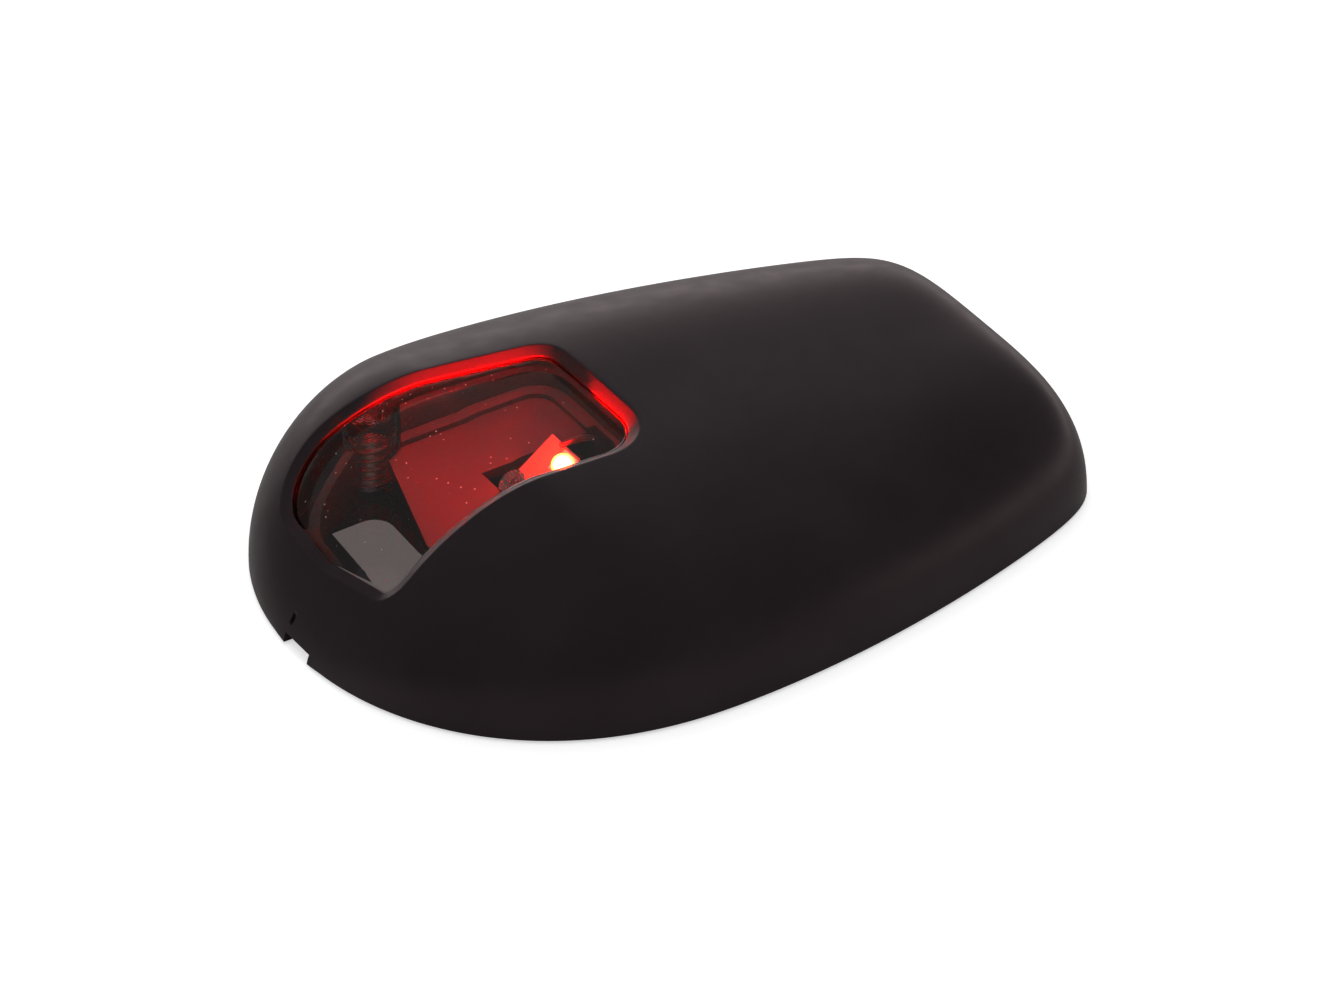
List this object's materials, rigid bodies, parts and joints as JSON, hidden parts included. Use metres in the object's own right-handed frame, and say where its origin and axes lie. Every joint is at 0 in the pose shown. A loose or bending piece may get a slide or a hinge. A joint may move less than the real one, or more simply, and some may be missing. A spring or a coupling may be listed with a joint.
{
  "type": "led side light",
  "caption": "Port-hand LED navigation side light: black clip-on cover with a clear window over a sealed module on a hull plate.",
  "frame": {"origin": "middle of the mounting face", "axes": "+X forward to the round nose, +Z away from the hull, +Y completes the frame; the window lies towards -Y"},
  "size_m": [0.0899, 0.0686, 0.0177],
  "materials": {
    "cover_plastic": "satin moulded black",
    "black_plastic": "moulded black",
    "gloss_black": "gloss moulded dark grey",
    "white_plastic": "matt white",
    "clear_plastic": "clear polished polycarbonate",
    "foam_rubber": "closed-cell foam",
    "rubber": "moulded",
    "stainless": "turned",
    "aluminium": "satin",
    "ceramic": "fired",
    "red_emitter": "lit",
    "circuit_board": "solder mask",
    "ferrite": "sintered",
    "solder": "tinned",
    "red_insulation": "silicone",
    "black_insulation": "silicone"
  },
  "bodies": {
    "housing": {"base_plate": "black_plastic", "hull_gasket": "foam_rubber", "wire_grommet": "rubber", "module_base": "clear_plastic", "breather_vent": "white_plastic", "lens_seal": "rubber", "lens": "clear_plastic", "module_screws": "stainless", "light_tray": "gloss_black", "heat_sink": "aluminium", "thermal_pad": "rubber", "led_board": "white_plastic", "led_package": "ceramic", "led_die": "red_emitter", "led_dome": "clear_plastic", "led_board_screws": "stainless", "driver_board": "circuit_board", "driver_board_screws": "stainless", "driver_inductor": "ferrite", "driver_capacitors": "aluminium", "driver_chip": "black_plastic", "input_diode": "black_plastic", "input_fuse": "ceramic", "chip_components": "ceramic", "solder_pads": "solder", "lead_positive": "red_insulation", "lead_negative": "black_insulation"},
    "snap_cover": {"cover": "cover_plastic"}
  },
  "joints": [
    {"name": "cover_lift", "type": "slide", "parent": "housing", "child": "snap_cover", "axis": [0, 0, 1], "range_m": [0, 0.03]}
  ]
}
